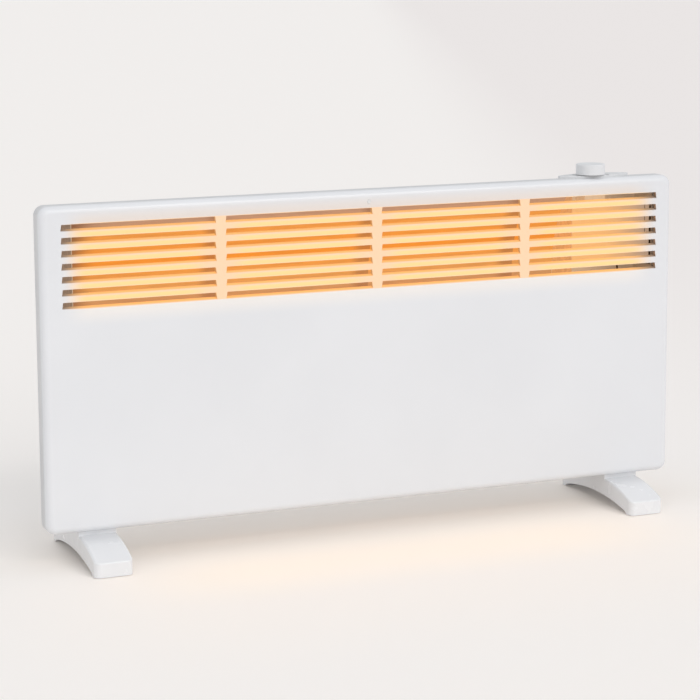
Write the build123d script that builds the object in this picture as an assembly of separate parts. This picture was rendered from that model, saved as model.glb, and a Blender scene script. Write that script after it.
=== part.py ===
from build123d import *
import os

os.makedirs("parts", exist_ok=True)

# The frame of the heater: X runs along the front from left to right, Y runs from the front to
# the back, Z runs up from the floor. The origin is on the floor under the middle of the feet.
# All sizes are in millimetres.

# Body
body_width = 830.0
body_height = 387.0
body_depth = 72.0
floor_gap = 40.0
corner_radius = 12.0

# Front cover, a pressed steel pan
cover_depth = 9.0
cover_edge_radius = 8.0
cover_wall = 1.2

# Outlet grille pressed into the front cover
grille_groups = 4
grille_rows = 7
grille_left_margin = 25.0
grille_right_margin = 21.7
grille_top_margin = 21.2
group_width = 188.7
pillar_width = 11.7
row_pitch = 15.12
slot_height = 7.88
slot_end_slant = 1.1
louvre_depth = 5.2
louvre_wall = 1.0
louvre_rise = 2.2

# Surround frame, a moulded ring between the cover and the rear housing
surround_depth = 20.0
surround_wall = 2.5
surround_edge_radius = 4.5
tongue_length = 4.0
tongue_wall = 1.5
tongue_clearance = 1.2

# Rear housing, a folded steel tray
housing_inset = 12.0
housing_wall = 1.0
housing_corner_radius = 10.0
housing_edge_radius = 7.0
flange_width = 7.0
flange_wall = 1.2

# Air inlets of the rear housing
inlet_columns = 5
inlet_rows = 5
inlet_width = 112.0
inlet_height = 5.0
inlet_column_pitch = 128.0
inlet_row_pitch = 12.0
inlet_base = 70.0
floor_inlet_count = 22
floor_inlet_width = 10.0
floor_inlet_length = 22.0
floor_inlet_pitch = 25.0

# Keyholes for hanging the heater on two wall screws
keyhole_spacing = 400.0
keyhole_drop = 42.0
keyhole_radius = 5.0
keyhole_slot_radius = 2.5
keyhole_slot_length = 10.0

# Screws that hold the rear housing to the surround frame
case_screw_radius = 1.5
case_screw_head_radius = 3.0
case_screw_head_height = 2.0
case_screw_length = 8.0
case_screw_spacing = 256.0
boss_radius = 3.5
boss_length = 10.0
screw_clearance = 0.05

# Feet, moulded arches
foot_spacing = 703.0
foot_width = 46.5
foot_length = 190.0
foot_corner_radius = 7.0
foot_edge_radius = 2.5
crown_upward_share = 0.5
foot_toe_height = 18.0
foot_toe_length = 12.0
foot_arch_start = 4.0
foot_arch_height = 13.0
foot_shoulder_height = 29.5
foot_shoulder_share = 0.63
foot_root_height = 34.0
foot_shell = 3.0
saddle_margin = 2.0
saddle_clearance = 0.3
pad_width = 34.0
pad_length = 8.0
pad_thickness = 2.6
pad_stand = 0.6

# Screws that hold the feet to the rear housing
foot_screw_radius = 2.0
foot_screw_head_radius = 4.0
foot_screw_head_height = 2.6
foot_screw_spacing = 16.0
foot_screw_reach = 5.0
foot_nut_radius = 4.0
foot_nut_height = 3.2
hole_clearance = 0.2

# Hot duct: two side baffles, a heat shield in front and a curved air guide behind
duct_left_margin = 42.4
duct_right_margin = 135.4
baffle_front = 16.0
baffle_base = 70.0
baffle_top_gap = 20.0
baffle_flange = 12.0
sheet_wall = 0.8
bend_radius = 1.6
shield_base_gap = 8.0
shield_top_gap = 6.0
guide_flange_height = 26.0
guide_flange_rise = 4.8
guide_radius = 148.0
guide_angle = 42.0
guide_lip = 5.0

# Heating element: two ribbons folded in a square wave, threaded through a mica board
element_drop = 36.0
board_wall = 1.0
board_depth = 42.0
board_centre_y = 7.0
board_clearance = 0.3
board_overhang_left = 6.0
board_overhang_right = 22.0
ribbon_spacing = 18.0
ribbon_wall = 1.2
ribbon_width = 2.4
ribbon_leg_count = 47
ribbon_height = 34.0
ribbon_clearance = 0.2
ribbon_left_gap = 20.0
ribbon_right_gap = 34.2
strap_width = 6.0
strap_wall = 0.8
hanger_height = 12.0

# Control cover over the wiring at the right-hand end
control_cover_width = 112.0
control_cover_height = 76.0
control_cover_rise = 10.0
control_cover_front = 17.2
control_cover_flange = 10.0
vent_count = 3
vent_offset = 5.0
vent_width = 4.2
vent_height = 5.6
vent_drop = 1.5
small_vent_count = 2
small_vent_width = 2.2

# Knob and thermostat
knob_side_margin = 106.7
knob_y = -15.5
knob_radius = 18.5
knob_height = 13.3
knob_wall = 2.0
knob_edge_radius = 1.4
knob_gap = 0.8
knob_hub_radius = 6.0
knob_bore_depth = 7.0
shaft_radius = 3.0
shaft_flat_depth = 0.8
shaft_flat_margin = 1.0
shaft_fit = 0.02
shaft_clearance = 0.05
shaft_seat_depth = 8.0
bush_radius = 5.0
bush_clearance = 0.15
nut_radius = 7.5
nut_height = 2.5
thermostat_width = 30.0
thermostat_depth = 26.0
thermostat_height = 18.0
thermostat_corner_radius = 2.0
thermostat_neck_radius = 5.6
thermostat_neck_length = 12.5
bush_thread = 3.5

# Control platform on the top edge
platform_length = 104.0
platform_offset_x = 6.7
platform_thickness = 3.0
platform_front = 8.5
platform_depth = 34.0
platform_tip_radius = 3.0
platform_wall = 2.2
platform_edge_radius = 0.8
platform_skirt_gap = 0.3

# Indicator lamp
lamp_x = -5.7
lamp_drop = 13.3
lamp_radius = 2.4
lamp_dome_height = 0.7
lamp_clearance = 0.1
lamp_flange_radius = 4.0
lamp_flange_wall = 1.0
lamp_tail_length = 3.0
lamp_holder_radius = 4.6
lamp_holder_length = 6.5

# Cord inlet bush
inlet_bush_side_margin = 63.0
inlet_bush_z = 92.0
inlet_bush_radius = 7.0
inlet_bush_flange_radius = 10.0
inlet_bush_flange_wall = 2.5
inlet_bush_bore_radius = 3.6
inlet_bush_length = 14.0
inlet_bush_clearance = 0.1
inlet_bush_edge_radius = 0.8

# Parts in the control compartment
terminal_block_side_margin = 75.0
terminal_block_z = 130.0
terminal_block_size = (44.0, 18.0, 20.0)
terminal_pillar_radius = 3.5
terminal_pillar_height = 2.0
terminal_count = 3
tip_switch_side_margin = 39.0
tip_switch_z = 205.0
tip_switch_size = (26.0, 16.0, 34.0)
tip_switch_corner_radius = 2.0
earth_stud_side_margin = 27.0
earth_stud_z = 158.0
earth_stud_radius = 3.0
earth_stud_length = 5.0
cutout_y = 8.0
cutout_rise = 34.0
cutout_radius = 8.0
cutout_length = 9.0
cutout_flange_length = 24.0
cutout_flange_wall = 1.0

# Wires: the bend radius of each, the offsets of its ends, and its straight runs
wire_radius = 1.2
wire_margin = 5.0
supply_bend = 8.0
supply_pin_offset = 6.0
supply_run = 18.0
switched_bend = 14.0
switched_run = 38.0
switched_turn_rise = 108.0
switched_turn_shift = 16.0
switched_end_run = 29.0
thermostat_pin_offset = 8.0
regulated_bend = 7.0
regulated_run = 34.0
regulated_turn_rise = 25.0
regulated_turn_offset = 16.0
cutout_pin_offset = 4.0
element_feed_bend = 4.0
element_feed_offset = 13.0
element_feed_rise = 14.0
element_feed_run = 10.0
neutral_bend = 5.0
neutral_rise = 12.0
neutral_fall = 10.0
neutral_shift = 16.0
neutral_step = 2.0
neutral_run = 28.0
earth_bend = 4.0
earth_run = 10.0
lamp_wire_radius = 0.9
lamp_wire_bend = 3.0
lamp_wire_clearance = 0.6
lamp_wire_spacing = 3.0
lamp_wire_turn = 22.0
lamp_wire_end_run = 10.0
lamp_wire_drop = 8.0

# Places worked out from the sizes above
front_y = -body_depth / 2
back_y = body_depth / 2
low_z = floor_gap
top_z = floor_gap + body_height
middle_z = (low_z + top_z) / 2
cover_back_y = front_y + cover_depth
surround_back_y = cover_back_y + surround_depth
flange_back_y = surround_back_y + flange_wall
wall_front_y = back_y - housing_wall
surround_top_z = top_z - surround_wall
housing_top_z = top_z - housing_inset
housing_low_z = low_z + housing_inset
platform_top_z = top_z + platform_thickness
keyhole_height = top_z - keyhole_drop
right_x = body_width / 2
knob_x = right_x - knob_side_margin
inlet_bush_x = right_x - inlet_bush_side_margin
terminal_block_x = right_x - terminal_block_side_margin
tip_switch_x = right_x - tip_switch_side_margin
earth_stud_x = right_x - earth_stud_side_margin
grille_top_z = top_z - grille_top_margin
grille_left_x = -body_width / 2 + grille_left_margin
grille_right_x = right_x - grille_right_margin
grille_base_z = grille_top_z - (grille_rows - 1) * row_pitch - slot_height
duct_left_x = -body_width / 2 + duct_left_margin
duct_right_x = right_x - duct_right_margin
ribbon_reach = duct_right_x - duct_left_x - ribbon_left_gap - ribbon_right_gap
ribbon_leg_pitch = ribbon_reach / (ribbon_leg_count - 1)
baffle_front_y = front_y + baffle_front
baffle_top_z = top_z - baffle_top_gap
element_z = grille_base_z - element_drop
guide_flange_base = element_z + guide_flange_rise
cutout_z = element_z + cutout_rise
case_screw_inset = housing_inset - flange_width / 2
lamp_z = top_z - lamp_drop
bush_top_z = platform_top_z + bush_thread
knob_low_z = platform_top_z + knob_gap
hub_low_z = bush_top_z + knob_gap
terminal_y = wall_front_y - terminal_block_size[1] / 2
cover_inner_y = front_y + cover_wall


def slab(outline, y_front, y_back):
    """A flat shape drawn in X and Z, made solid from y_front to y_back."""
    return extrude(Plane.XZ.offset(-y_back) * outline, amount=y_back - y_front)


def body_outline(inset, radius):
    """The rounded outline of the body seen from the front, drawn in by an inset."""
    width = body_width - 2 * inset
    height = body_height - 2 * inset
    return Pos(0, middle_z) * RectangleRounded(width, height, radius)


def block(x_low, x_high, y_low, y_high, z_low, z_high):
    """A square-edged block between six planes."""
    low = Vector(x_low, y_low, z_low)
    size = Vector(x_high, y_high, z_high) - low
    centre = low + size * 0.5
    return Pos(*centre) * Box(*size)


def rod(start, direction, radius, length):
    """A round bar from a point along a direction."""
    plane = Plane(origin=start, z_dir=direction)
    return extrude(plane * Circle(radius), amount=length)


def one_solid(shape):
    """The single solid of a boolean result."""
    return shape.solids()[0]


def slot_section(x_low, x_high, z_high, grow, y):
    """The outline of one louvre at depth y. Its ledge climbs as the louvre goes inwards."""
    depth_share = (y - front_y) / louvre_depth
    z_low = z_high - slot_height
    bottom = z_low + louvre_rise * depth_share - grow
    top = z_high + grow
    slope = slot_end_slant / slot_height
    bottom_shift = slope * (bottom - z_low)
    top_shift = slope * (top - z_low)
    corners = [
        (x_low + bottom_shift - grow, bottom),
        (x_high - bottom_shift + grow, bottom),
        (x_high - top_shift + grow, top),
        (x_low + top_shift - grow, top),
    ]
    return Plane.XZ.offset(-y) * make_face(Polyline(*corners, close=True))


def louvre(x_low, x_high, z_high, grow, y_front, y_back):
    """The tapered block between two sections of one louvre."""
    front = slot_section(x_low, x_high, z_high, grow, y_front)
    back = slot_section(x_low, x_high, z_high, grow, y_back)
    return loft([front.faces()[0], back.faces()[0]], ruled=True)


def slot_places():
    """The left end, right end and top of every grille slot."""
    places = []
    for group in range(grille_groups):
        x_low = grille_left_x + group * (group_width + pillar_width)
        x_high = x_low + group_width
        if group == grille_groups - 1:
            x_high = grille_right_x
        for row in range(grille_rows):
            places.append((x_low, x_high, grille_top_z - row * row_pitch))
    return places


def front_cover():
    """The pressed front pan with its 28 flanged louvres and the lamp hole."""
    outer = slab(body_outline(0, corner_radius), front_y, cover_back_y)
    outer = fillet(outer.faces().sort_by(Axis.Y)[0].edges(), cover_edge_radius)
    inner = slab(body_outline(cover_wall, corner_radius - cover_wall), cover_inner_y, cover_back_y)
    inner = fillet(inner.faces().sort_by(Axis.Y)[0].edges(), cover_edge_radius - cover_wall)
    pan = outer - inner
    collar_front = front_y + cover_wall / 2
    collar_back = front_y + louvre_depth
    through_front = front_y - louvre_wall
    through_back = collar_back + louvre_wall
    collars = []
    openings = []
    for x_low, x_high, z_high in slot_places():
        collars.append(louvre(x_low, x_high, z_high, louvre_wall, collar_front, collar_back))
        openings.append(louvre(x_low, x_high, z_high, 0, through_front, through_back))
    hole = slab(Pos(lamp_x, lamp_z) * Circle(lamp_radius + lamp_clearance), through_front, collar_back)
    return one_solid(pan + collars - openings - hole)


def case_screw_places():
    """The ten screw places round the rear flange, as X and Z."""
    row_low = low_z + case_screw_inset
    row_high = top_z - case_screw_inset
    side_x = body_width / 2 - case_screw_inset
    columns = [case_screw_spacing * (n - 1.5) for n in range(4)]
    places = [(x, z) for z in (row_low, row_high) for x in columns]
    return places + [(-side_x, middle_z), (side_x, middle_z)]


def surround_frame():
    """The moulded ring: side walls, a tongue that enters the cover, a rear rim and screw bosses."""
    outer = slab(body_outline(0, corner_radius), cover_back_y, surround_back_y)
    outer = fillet(outer.faces().sort_by(Axis.Y)[-1].edges(), surround_edge_radius)
    rim_front_y = surround_back_y - surround_wall
    inner = slab(body_outline(surround_wall, corner_radius - surround_wall), cover_back_y, rim_front_y)
    window_inset = housing_inset + housing_wall
    window_radius = housing_corner_radius - housing_wall
    window = slab(body_outline(window_inset, window_radius), cover_back_y, surround_back_y)
    tongue_inset = cover_wall + tongue_clearance
    tongue_inner = tongue_inset + tongue_wall
    tongue_front_y = cover_back_y - tongue_length
    tongue_back_y = cover_back_y + surround_wall
    tongue_outer = slab(
        body_outline(tongue_inset, corner_radius - tongue_inset), tongue_front_y, tongue_back_y
    )
    tongue_hollow = slab(
        body_outline(tongue_inner, corner_radius - tongue_inner), tongue_front_y, tongue_back_y
    )
    bosses = []
    pilots = []
    for x, z in case_screw_places():
        boss_front = (x, rim_front_y - boss_length, z)
        bosses.append(rod(boss_front, (0, 1, 0), boss_radius, boss_length + surround_wall / 2))
        pilot_depth = case_screw_length + surround_wall
        pilot_end = (x, surround_back_y - pilot_depth, z)
        pilots.append(rod(pilot_end, (0, 1, 0), case_screw_radius + screw_clearance, pilot_depth))
    ring = outer - inner - window + (tongue_outer - tongue_hollow) + bosses - pilots
    bush_hole = rod((knob_x, knob_y, middle_z), (0, 0, 1), bush_radius + bush_clearance, body_height)
    return one_solid(ring - bush_hole)


def rear_housing():
    """The folded tray with its flange, air inlets, keyholes and holes for screws and cord bush."""
    outer = slab(body_outline(housing_inset, housing_corner_radius), surround_back_y, back_y)
    outer = fillet(outer.faces().sort_by(Axis.Y)[-1].edges(), housing_edge_radius)
    inner_inset = housing_inset + housing_wall
    inner_radius = housing_corner_radius - housing_wall
    inner = slab(body_outline(inner_inset, inner_radius), surround_back_y, wall_front_y)
    inner = fillet(inner.faces().sort_by(Axis.Y)[-1].edges(), housing_edge_radius - housing_wall)
    flange_inset = housing_inset - flange_width
    flange = slab(body_outline(flange_inset, corner_radius), surround_back_y, flange_back_y)
    tray = outer + flange - inner
    cuts = []
    for column in range(inlet_columns):
        x = (column - (inlet_columns - 1) / 2) * inlet_column_pitch
        for row in range(inlet_rows):
            z = inlet_base + row * inlet_row_pitch
            opening = Pos(x, z) * Rectangle(inlet_width, inlet_height)
            cuts.append(slab(opening, wall_front_y - housing_wall, back_y + housing_wall))
    inlet_y = (flange_back_y + back_y - housing_edge_radius) / 2
    for n in range(floor_inlet_count):
        x = (n - (floor_inlet_count - 1) / 2) * floor_inlet_pitch
        slot = Box(floor_inlet_width, floor_inlet_length, housing_inset)
        cuts.append(Pos(x, inlet_y, housing_low_z) * slot)
    for side in (-1, 1):
        x = side * keyhole_spacing / 2
        round_hole = Pos(x, keyhole_height) * Circle(keyhole_radius)
        slot_centre = keyhole_height + keyhole_slot_length / 2
        neck = Pos(x, slot_centre) * Rectangle(2 * keyhole_slot_radius, keyhole_slot_length)
        end = Pos(x, keyhole_height + keyhole_slot_length) * Circle(keyhole_slot_radius)
        cuts.append(slab(round_hole + neck + end, wall_front_y - housing_wall, back_y + housing_wall))
    for x, z in case_screw_places():
        hole_radius = case_screw_radius + hole_clearance
        cuts.append(rod((x, surround_back_y, z), (0, 1, 0), hole_radius, flange_wall))
    for x, y in foot_screw_places():
        cuts.append(rod((x, y, low_z), (0, 0, 1), foot_screw_radius + hole_clearance, 2 * housing_inset))
    bush_hole = inlet_bush_radius + inlet_bush_clearance
    cuts.append(rod((inlet_bush_x, wall_front_y, inlet_bush_z), (0, 1, 0), bush_hole, 2 * housing_wall))
    return one_solid(tray - cuts)


def case_screws():
    """Ten pan-head screws from behind, through the flange into the bosses."""
    screws = []
    for x, z in case_screw_places():
        shank_start = (x, flange_back_y - case_screw_length, z)
        shank = rod(shank_start, (0, 1, 0), case_screw_radius, case_screw_length)
        head = rod((x, flange_back_y, z), (0, 1, 0), case_screw_head_radius, case_screw_head_height)
        screws.append(one_solid(shank + head))
    return Compound(screws)


def foot_screw_places():
    """The X and Y of the two screws of each foot."""
    flat_start = flange_back_y
    flat_end = back_y - housing_edge_radius
    middle_y = (flat_start + flat_end) / 2
    places = []
    for side in (-1, 1):
        for step in (-0.5, 0.5):
            places.append((side * foot_spacing / 2, middle_y + step * foot_screw_spacing))
    return places


def foot_profile(shell, base):
    """The top line of a foot seen from the side. A shell draws it in for the hollow."""
    end = foot_length / 2
    toe_y = end - shell
    if shell > 0:
        toe_y = end - foot_toe_length - shell
    shoulder_y = end * foot_shoulder_share
    front_saddle = cover_back_y + saddle_margin + shell
    front_saddle_end = flange_back_y + saddle_clearance + shell
    rear_saddle_end = back_y - housing_edge_radius - saddle_margin - shell
    toe_top = foot_toe_height - shell
    if shell > 0:
        toe_top = toe_top + foot_shell
    shoulder_z = foot_shoulder_height - shell
    root_z = foot_root_height - shell
    front_arc = ThreePointArc((-toe_y, toe_top), (-shoulder_y, shoulder_z), (front_saddle, root_z))
    rear_arc = ThreePointArc((rear_saddle_end, root_z), (shoulder_y, shoulder_z), (toe_y, toe_top))
    top = [
        Line((-toe_y, base), (-toe_y, toe_top)),
        front_arc,
        Polyline(
            (front_saddle, root_z),
            (front_saddle, low_z - shell),
            (front_saddle_end, low_z - shell),
            (front_saddle_end, housing_low_z - shell),
            (rear_saddle_end, housing_low_z - shell),
            (rear_saddle_end, root_z),
        ),
        rear_arc,
        Line((toe_y, toe_top), (toe_y, base)),
    ]
    return top


def crown_edges(outer):
    """The edges round the two curved tops of a foot, without those at the saddle."""
    curved = outer.faces().filter_by(GeomType.CYLINDER)
    crowns = curved.filter_by(lambda face: face.normal_at().Z > crown_upward_share)
    return crowns.edges().filter_by(lambda edge: edge.center().Z < foot_root_height - foot_edge_radius / 2)


def foot(side):
    """One moulded foot: an arched shell, hollow from below, with solid toes and a stepped saddle."""
    end = foot_length / 2
    heel = end - foot_toe_length
    arch_edge = heel - foot_arch_start
    arch = ThreePointArc((arch_edge, foot_arch_start), (0, foot_arch_height), (-arch_edge, foot_arch_start))
    underside = [
        Line((end, pad_stand), (heel, pad_stand)),
        Line((heel, pad_stand), (arch_edge, foot_arch_start)),
        arch,
        Line((-arch_edge, foot_arch_start), (-heel, pad_stand)),
        Line((-heel, pad_stand), (-end, pad_stand)),
    ]
    outline = make_face(Curve() + foot_profile(0, pad_stand) + underside)
    outer = extrude(Plane.YZ * outline, amount=foot_width / 2, both=True)
    plan = extrude(RectangleRounded(foot_width, foot_length, foot_corner_radius), amount=top_z)
    outer = outer & plan
    outer = fillet(crown_edges(outer), foot_edge_radius)
    hollow_line = foot_profile(foot_shell, 0)
    floor_line = Line(hollow_line[-1] @ 1, hollow_line[0] @ 0)
    hollow = make_face(Curve() + hollow_line + [floor_line])
    hollow = extrude(Plane.YZ * hollow, amount=foot_width / 2 - foot_shell, both=True)
    shell = outer - hollow
    recess_y = end - foot_toe_length / 2
    for y in (-recess_y, recess_y):
        shell = shell - Pos(0, y, 0) * Box(pad_width, pad_length, 2 * pad_thickness)
    shell = Pos(side * foot_spacing / 2, 0, 0) * shell
    for x, y in foot_screw_places():
        shell = shell - rod((x, y, 0), (0, 0, 1), foot_screw_radius + hole_clearance, top_z)
    return one_solid(shell)


def foot_pads():
    """Four rubber pads, one in the recess under each toe."""
    pads = []
    y = foot_length / 2 - foot_toe_length / 2
    for side in (-1, 1):
        for end in (-1, 1):
            pad = Pos(side * foot_spacing / 2, end * y, pad_thickness / 2) * Box(
                pad_width - hole_clearance, pad_length - hole_clearance, pad_thickness
            )
            pads.append(pad.solid())
    return Compound(pads)


def foot_screws():
    """Four screws that come up through the feet into the rear housing."""
    screws = []
    seat_z = housing_low_z - foot_shell
    length = foot_shell + housing_wall + foot_screw_reach
    for x, y in foot_screw_places():
        shank = rod((x, y, seat_z), (0, 0, 1), foot_screw_radius, length)
        head = rod((x, y, seat_z), (0, 0, -1), foot_screw_head_radius, foot_screw_head_height)
        screws.append(one_solid(shank + head))
    return Compound(screws)


def foot_nuts():
    """Four hexagon nuts on the foot screws, inside the rear housing."""
    nuts = []
    for x, y in foot_screw_places():
        outline = RegularPolygon(foot_nut_radius, 6) - Circle(foot_screw_radius + screw_clearance)
        plane = Plane(origin=(x, y, housing_low_z + housing_wall))
        nuts.append(extrude(plane * outline, amount=foot_nut_height).solid())
    return Compound(nuts)


def side_baffle(x_face, outward):
    """A folded end wall of the hot duct with a window for the heating element."""
    middle_x = x_face + outward * sheet_wall / 2
    flange_y = wall_front_y - sheet_wall / 2
    flange_x = middle_x + outward * baffle_flange
    path = FilletPolyline(
        (middle_x, baffle_front_y), (middle_x, flange_y), (flange_x, flange_y), radius=bend_radius
    )
    section = trace(path, line_width=sheet_wall)
    height = baffle_top_z - baffle_base
    wall = extrude(Pos(0, 0, baffle_base) * section, amount=height)
    window_depth = board_depth + 2 * board_clearance
    window_low = element_z - board_wall / 2 - board_clearance
    window_high = element_z + board_wall / 2 + strap_wall + board_clearance
    window = block(
        middle_x - sheet_wall,
        middle_x + sheet_wall,
        board_centre_y - window_depth / 2,
        board_centre_y + window_depth / 2,
        window_low,
        window_high,
    )
    return one_solid(wall - window)


def heat_shield():
    """The flat sheet behind the front cover, with its top and bottom edges turned forwards."""
    y = baffle_front_y - sheet_wall / 2
    low = baffle_base + shield_base_gap
    high = grille_base_z - shield_top_gap
    lip = shield_top_gap
    low_lip = (y - lip, low - lip)
    high_lip = (y - lip, high + lip / 2)
    path = FilletPolyline(low_lip, (y, low), (y, high), high_lip, radius=bend_radius)
    section = Plane.YZ * trace(path, line_width=sheet_wall)
    length = duct_right_x - duct_left_x + 2 * sheet_wall
    middle_x = (duct_left_x + duct_right_x) / 2
    return one_solid(Pos(middle_x, 0, 0) * extrude(section, amount=length / 2, both=True))


def air_guide():
    """The curved sheet behind the grille that turns the rising air forwards."""
    y = wall_front_y - sheet_wall / 2
    bend_start = guide_flange_base + guide_flange_height
    rise = Line((y, guide_flange_base), (y, bend_start))
    curve = JernArc(start=(y, bend_start), tangent=(0, 1), radius=guide_radius, arc_size=guide_angle)
    lip = Line(curve @ 1, curve @ 1 + (curve % 1) * guide_lip)
    section = Plane.YZ * trace(Wire([rise, curve, lip]), line_width=sheet_wall)
    length = duct_right_x - duct_left_x
    middle_x = (duct_left_x + duct_right_x) / 2
    return one_solid(Pos(middle_x, 0, 0) * extrude(section, amount=length / 2, both=True))


def ribbon_start_x():
    """The X of the first leg of the heating ribbons."""
    return duct_left_x + ribbon_left_gap


def ribbon_rows():
    """The Y of the front and rear heating ribbons."""
    return [board_centre_y - ribbon_spacing / 2, board_centre_y + ribbon_spacing / 2]


def mica_board():
    """The mica strip that carries the ribbons, with a slot for each leg."""
    x_low = duct_left_x - board_overhang_left
    x_high = duct_right_x + board_overhang_right
    y_low = board_centre_y - board_depth / 2
    y_high = board_centre_y + board_depth / 2
    z_low = element_z - board_wall / 2
    strip = block(x_low, x_high, y_low, y_high, z_low, z_low + board_wall)
    slot_length = ribbon_wall + 2 * ribbon_clearance
    slot = Box(slot_length, ribbon_width + 2 * ribbon_clearance, 2 * board_wall)
    slots = []
    for y in ribbon_rows():
        for leg in range(ribbon_leg_count):
            x = ribbon_start_x() + leg * ribbon_leg_pitch
            slots.append(Pos(x, y, element_z) * slot)
    return one_solid(strip - slots)


def square_wave_outline(half, reach):
    """The closed outline of a square wave of legs, joined in turn at the top and at the bottom."""
    there = [(-half, -reach)]
    back = [(half, -reach)]
    for leg in range(ribbon_leg_count - 1):
        x = leg * ribbon_leg_pitch
        following = x + ribbon_leg_pitch
        if leg % 2 == 0:
            there += [(x - half, reach + half), (following + half, reach + half)]
            back += [(x + half, reach - half), (following - half, reach - half)]
        else:
            there += [(x + half, half - reach), (following - half, half - reach)]
            back += [(x - half, -reach - half), (following + half, -reach - half)]
    last = (ribbon_leg_count - 1) * ribbon_leg_pitch
    climbs = 1 if ribbon_leg_count % 2 == 1 else -1
    there.append((last - climbs * half, climbs * reach))
    back.append((last + climbs * half, climbs * reach))
    return make_face(Polyline(*there, *reversed(back), close=True))


def heating_ribbon(y):
    """A resistance ribbon folded in a square wave that stands half above and half below the board."""
    outline = square_wave_outline(ribbon_wall / 2, ribbon_height / 2)
    place = Pos(ribbon_start_x(), element_z)
    return one_solid(slab(place * outline, y - ribbon_width / 2, y + ribbon_width / 2))


def ribbon_link():
    """The strap on the board that joins the left-hand ends of the two ribbons."""
    x_high = ribbon_start_x() - ribbon_wall / 2
    rows = ribbon_rows()
    z_low = element_z + board_wall / 2
    y_low = rows[0] - ribbon_width / 2
    y_high = rows[1] + ribbon_width / 2
    return block(x_high - strap_width, x_high, y_low, y_high, z_low, z_low + strap_wall)


def element_terminals():
    """The two straps that lead the ribbons through the window into the control compartment."""
    x_low = ribbon_start_x() + (ribbon_leg_count - 1) * ribbon_leg_pitch + ribbon_wall / 2
    x_high = duct_right_x + board_overhang_right - strap_wall
    z_low = element_z + board_wall / 2
    straps = []
    for y in ribbon_rows():
        half = strap_width / 2
        straps.append(block(x_low, x_high, y - half, y + half, z_low, z_low + strap_wall).solid())
    return Compound(straps)


def element_hanger():
    """The middle bracket that carries the board between two legs of the ribbons."""
    x = ribbon_start_x() + (ribbon_leg_count // 2 + 0.5) * ribbon_leg_pitch
    flange_y = wall_front_y - sheet_wall / 2
    y_low = board_centre_y - board_depth / 2
    path = FilletPolyline((x, y_low), (x, flange_y), (x + baffle_flange, flange_y), radius=bend_radius)
    z_high = element_z - board_wall / 2
    section = Pos(0, 0, z_high - hanger_height) * trace(path, line_width=sheet_wall)
    return one_solid(extrude(section, amount=hanger_height))


def control_cover():
    """The folded sheet that shields the wiring, with cooling holes in line with the grille slots."""
    x_low = duct_right_x + sheet_wall + sheet_wall / 2
    x_high = x_low + control_cover_width
    y = front_y + control_cover_front + sheet_wall / 2
    y_back = y + control_cover_flange
    path = FilletPolyline((x_low, y_back), (x_low, y), (x_high, y), (x_high, y_back), radius=bend_radius)
    z_low = grille_base_z + control_cover_rise
    section = Pos(0, 0, z_low) * trace(path, line_width=sheet_wall)
    cover = extrude(section, amount=control_cover_height)
    holes = []
    widths = vent_count * [vent_width] + small_vent_count * [small_vent_width]
    for row, width in enumerate(widths, start=1):
        z = grille_top_z - row * row_pitch - slot_height / 2 - vent_drop
        hole = Pos(x_high - vent_offset, y, z) * Box(width, 2 * sheet_wall, vent_height)
        holes.append(hole)
    return one_solid(cover - holes)


def thermostat():
    """The switch body under the top edge, with its neck and hollow bush."""
    body_top_z = surround_top_z - thermostat_neck_length
    body_low_z = body_top_z - thermostat_height
    body = block(
        knob_x - thermostat_width / 2,
        knob_x + thermostat_width / 2,
        knob_y - thermostat_depth / 2,
        knob_y + thermostat_depth / 2,
        body_low_z,
        body_top_z,
    )
    body = fillet(body.edges().filter_by(Axis.Z), thermostat_corner_radius)
    neck = rod((knob_x, knob_y, body_top_z), (0, 0, 1), thermostat_neck_radius, thermostat_neck_length)
    bush = rod((knob_x, knob_y, surround_top_z), (0, 0, 1), bush_radius, bush_top_z - surround_top_z)
    bore_low = body_top_z - shaft_seat_depth
    bore = rod((knob_x, knob_y, bore_low), (0, 0, 1), shaft_radius + shaft_clearance, bush_top_z - bore_low)
    return one_solid(body + neck + bush - bore)


def thermostat_nut():
    """The hexagon nut that clamps the thermostat to the platform, hidden in the knob."""
    outline = RegularPolygon(nut_radius, 6) - Circle(bush_radius + screw_clearance)
    plane = Plane(origin=(knob_x, knob_y, platform_top_z))
    return one_solid(extrude(plane * outline, amount=nut_height))


def shaft_flat(clearance):
    """The block that leaves a flat on the top of the shaft, or in the bore of the hub."""
    x_low = knob_x + shaft_radius - shaft_flat_depth + clearance
    x_high = knob_x + 2 * shaft_radius
    z_low = hub_low_z - clearance
    z_high = hub_low_z + knob_bore_depth
    reach = shaft_radius + shaft_flat_margin
    return block(x_low, x_high, knob_y - reach, knob_y + reach, z_low, z_high)


def thermostat_shaft():
    """The turning shaft, from inside the thermostat up into the hub of the knob."""
    z_low = surround_top_z - thermostat_neck_length - shaft_seat_depth + hole_clearance
    z_high = hub_low_z + knob_bore_depth - hole_clearance
    shaft = rod((knob_x, knob_y, z_low), (0, 0, 1), shaft_radius, z_high - z_low)
    return one_solid(shaft - shaft_flat(0))


def knob():
    """The round knob: a thin cap with a rounded rim and a hub that grips the shaft."""
    cap = rod((knob_x, knob_y, knob_low_z), (0, 0, 1), knob_radius, knob_height)
    cap = fillet(cap.faces().sort_by(Axis.Z)[-1].edges(), knob_edge_radius)
    hollow = rod((knob_x, knob_y, knob_low_z), (0, 0, 1), knob_radius - knob_wall, knob_height - knob_wall)
    hub_length = knob_low_z + knob_height - knob_wall - hub_low_z
    hub = rod((knob_x, knob_y, hub_low_z), (0, 0, 1), knob_hub_radius, hub_length)
    bore = rod((knob_x, knob_y, hub_low_z), (0, 0, 1), shaft_radius + shaft_fit, knob_bore_depth)
    bore = bore - shaft_flat(shaft_fit)
    return one_solid(cap - hollow + hub - bore)


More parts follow.
